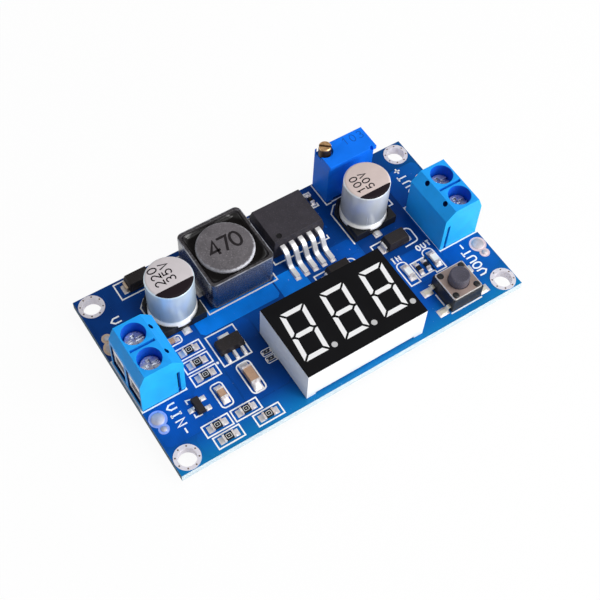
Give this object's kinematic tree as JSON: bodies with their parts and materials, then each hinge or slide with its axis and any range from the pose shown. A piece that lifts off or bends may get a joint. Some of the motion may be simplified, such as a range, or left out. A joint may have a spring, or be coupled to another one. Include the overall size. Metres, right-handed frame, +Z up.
{
  "type": "boost converter module",
  "caption": "Step-up voltage converter on a blue circuit board: screw terminals at both ends, digit display, inductor, regulator, capacitors, multi-turn trimmer and push switch.",
  "frame": {"origin": "under the middle of the board, at the level of the trimmed pin tips that the module stands on", "axes": "+X along the board from the input terminal to the output terminal, +Y from the display's edge to the trimmer's edge, +Z up"},
  "size_m": [0.066, 0.036, 0.0145],
  "materials": {
    "board": "blue solder mask on glass-fibre board",
    "tin": "tinned copper",
    "terminal": "sky blue moulded plastic",
    "screw": "zinc-plated steel",
    "cage": "tinned brass",
    "case": "white moulded plastic",
    "face": "black film",
    "segment": "milky resin",
    "carrier": "bare glass-fibre board",
    "ferrite": "dark ferrite",
    "core": "ground ferrite",
    "copper": "enamelled copper wire",
    "package": "black moulding resin",
    "can": "drawn aluminium",
    "base": "black moulded plastic",
    "trimmer": "blue moulded plastic",
    "brass": "turned brass",
    "cover": "stamped stainless steel",
    "button": "black moulded plastic",
    "resistor": "glazed black",
    "ceramic": "tan ceramic",
    "light": "clear resin"
  },
  "bodies": {
    "module": {"circuit_board": "board", "mounting_hole_plating": "tin", "wire_pads": "tin", "solder_pads": "tin", "solder_joints": "tin", "input_terminal_housing": "terminal", "output_terminal_housing": "terminal", "input_terminal_contacts": "cage", "output_terminal_contacts": "cage", "display_case": "case", "display_face": "face", "display_segments": "segment", "display_carrier": "carrier", "display_pins": "tin", "meter_controller": "package", "meter_controller_leads": "tin", "inductor_shield": "ferrite", "inductor_core": "core", "inductor_winding": "copper", "inductor_terminals": "tin", "regulator_body": "package", "regulator_tab": "tin", "regulator_leads": "tin", "input_capacitor_can": "can", "input_capacitor_base": "base", "input_capacitor_leads": "tin", "output_capacitor_can": "can", "output_capacitor_base": "base", "output_capacitor_leads": "tin", "trimmer_housing": "trimmer", "trimmer_pins": "tin", "switch_base": "base", "switch_cover": "cover", "switch_dome": "cover", "switch_leads": "tin", "input_diode_body": "package", "input_diode_leads": "tin", "rectifier_body": "package", "rectifier_leads": "tin", "output_diode_body": "package", "output_diode_leads": "tin", "logic_regulator_body": "package", "logic_regulator_leads": "tin", "transistor_body": "package", "transistor_leads": "tin", "resistor_bodies": "resistor", "ceramic_capacitor_bodies": "ceramic", "chip_terminals": "tin", "indicator_lights": "light"},
    "switch_button": {"switch_button": "button"},
    "trimmer_screw": {"trimmer_screw": "brass"},
    "input_positive_screw": {"input_positive_screw": "screw"},
    "input_positive_cage": {"input_positive_cage": "cage"},
    "input_negative_screw": {"input_negative_screw": "screw"},
    "input_negative_cage": {"input_negative_cage": "cage"},
    "output_positive_screw": {"output_positive_screw": "screw"},
    "output_positive_cage": {"output_positive_cage": "cage"},
    "output_negative_screw": {"output_negative_screw": "screw"},
    "output_negative_cage": {"output_negative_cage": "cage"}
  },
  "joints": [
    {"name": "switch_press", "type": "slide", "parent": "module", "child": "switch_button", "axis": [0, 0, -1], "range_m": [0, 0.00025], "stiffness_N_per_m": 8000, "deforming": ["switch_dome"]},
    {"name": "trimmer_turn", "type": "hinge", "parent": "module", "child": "trimmer_screw", "pos_m": [0.0152, 0.01658, 0.0122], "axis": [0, 0, -1], "continuous": true},
    {"name": "input_positive_turn", "type": "hinge", "parent": "module", "child": "input_positive_screw", "pos_m": [-0.02925, 0.00215, 0.01], "axis": [0, 0, -1], "range_deg": [-480, 780]},
    {"name": "input_positive_clamp", "type": "slide", "parent": "module", "child": "input_positive_cage", "axis": [0, 0, 1], "range_m": [-0.0006, 0.00097]},
    {"name": "input_negative_turn", "type": "hinge", "parent": "module", "child": "input_negative_screw", "pos_m": [-0.02925, -0.00285, 0.01], "axis": [0, 0, -1], "range_deg": [-480, 780]},
    {"name": "input_negative_clamp", "type": "slide", "parent": "module", "child": "input_negative_cage", "axis": [0, 0, 1], "range_m": [-0.0006, 0.00097]},
    {"name": "output_positive_turn", "type": "hinge", "parent": "module", "child": "output_positive_screw", "pos_m": [0.02925, 0.00215, 0.01], "axis": [0, 0, -1], "range_deg": [-480, 780]},
    {"name": "output_positive_clamp", "type": "slide", "parent": "module", "child": "output_positive_cage", "axis": [0, 0, 1], "range_m": [-0.0006, 0.00097]},
    {"name": "output_negative_turn", "type": "hinge", "parent": "module", "child": "output_negative_screw", "pos_m": [0.02925, -0.00285, 0.01], "axis": [0, 0, -1], "range_deg": [-480, 780]},
    {"name": "output_negative_clamp", "type": "slide", "parent": "module", "child": "output_negative_cage", "axis": [0, 0, 1], "range_m": [-0.0006, 0.00097]}
  ],
  "couplings": [
    {"joint": "input_positive_turn", "follows": "input_positive_clamp", "rad_per_m": 13963},
    {"joint": "input_negative_turn", "follows": "input_negative_clamp", "rad_per_m": 13963},
    {"joint": "output_positive_turn", "follows": "output_positive_clamp", "rad_per_m": 13963},
    {"joint": "output_negative_turn", "follows": "output_negative_clamp", "rad_per_m": 13963}
  ]
}
